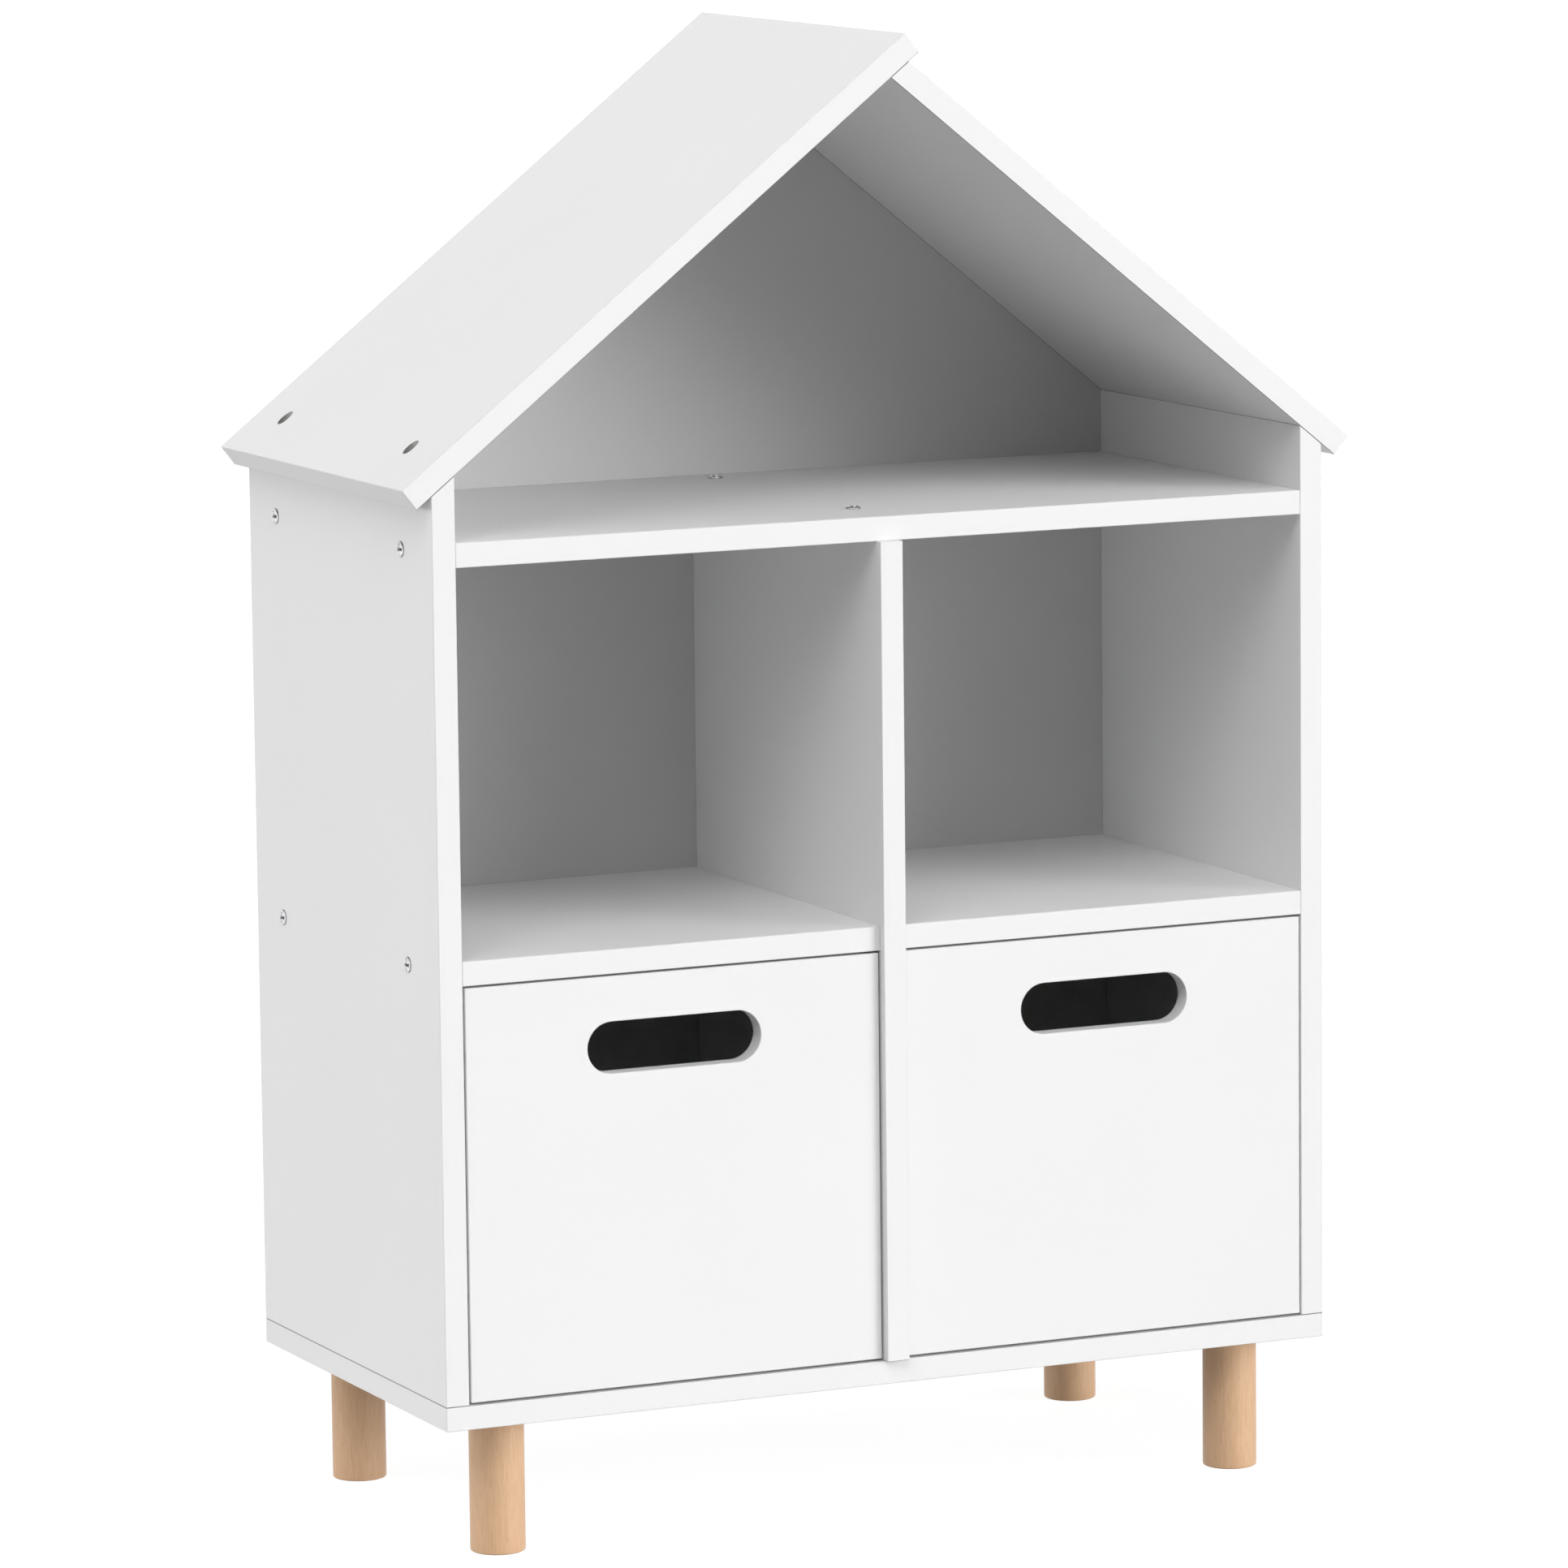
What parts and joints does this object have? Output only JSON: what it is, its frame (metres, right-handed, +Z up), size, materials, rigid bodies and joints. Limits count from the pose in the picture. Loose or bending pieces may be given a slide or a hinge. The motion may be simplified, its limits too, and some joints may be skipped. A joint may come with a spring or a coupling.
{
  "type": "children's house shaped bookcase",
  "caption": "Gabled children's bookcase on round legs, with an open attic, open bays and slotted pull-out drawers.",
  "frame": {"origin": "on the floor, under the middle of the whole outline (roof eaves left and right, divider edge to rear edges)", "axes": "+X to the right as the front is faced, +Y from the front to the back, +Z up"},
  "size_m": [0.6371, 0.3034, 0.9168],
  "materials": {
    "white_board": "satin white laminate",
    "thin_white_board": "satin white foil on thin fibreboard",
    "drawer_white_board": "satin white laminate",
    "leg_beech": "clear satin lacquer on beech",
    "dowel_beech": "bare beech",
    "bright_steel": "nickel plated",
    "zinc_steel": "zinc plated"
  },
  "bodies": {
    "carcass": {"base_board": "white_board", "left_side_panel": "white_board", "right_side_panel": "white_board", "centre_divider": "white_board", "top_shelf": "white_board", "left_middle_shelf": "white_board", "right_middle_shelf": "white_board", "lower_back_panel": "thin_white_board", "attic_back_panel": "thin_white_board", "left_roof_panel": "white_board", "right_roof_panel": "white_board", "front_left_leg": "leg_beech", "front_right_leg": "leg_beech", "rear_left_leg": "leg_beech", "rear_right_leg": "leg_beech", "leg_hanger_bolts": "zinc_steel", "leg_threaded_inserts": "zinc_steel", "left_side_screws": "bright_steel", "right_side_screws": "bright_steel", "top_shelf_screws": "bright_steel", "base_screws": "bright_steel", "left_roof_screws": "bright_steel", "right_roof_screws": "bright_steel", "base_dowels": "dowel_beech", "middle_shelf_dowels": "dowel_beech", "ridge_dowels": "dowel_beech"},
    "left_drawer": {"left_drawer_front": "drawer_white_board", "left_drawer_left_side": "drawer_white_board", "left_drawer_right_side": "drawer_white_board", "left_drawer_back": "drawer_white_board", "left_drawer_bottom": "thin_white_board", "left_drawer_front_dowels": "dowel_beech", "left_drawer_side_screws": "bright_steel", "left_drawer_bottom_screws": "bright_steel"},
    "right_drawer": {"right_drawer_front": "drawer_white_board", "right_drawer_left_side": "drawer_white_board", "right_drawer_right_side": "drawer_white_board", "right_drawer_back": "drawer_white_board", "right_drawer_bottom": "thin_white_board", "right_drawer_front_dowels": "dowel_beech", "right_drawer_side_screws": "bright_steel", "right_drawer_bottom_screws": "bright_steel"}
  },
  "joints": [
    {"name": "left_drawer_slide", "type": "slide", "parent": "carcass", "child": "left_drawer", "axis": [0, -1, 0], "range_m": [0, 0.25]},
    {"name": "right_drawer_slide", "type": "slide", "parent": "carcass", "child": "right_drawer", "axis": [0, -1, 0], "range_m": [0, 0.25]}
  ]
}
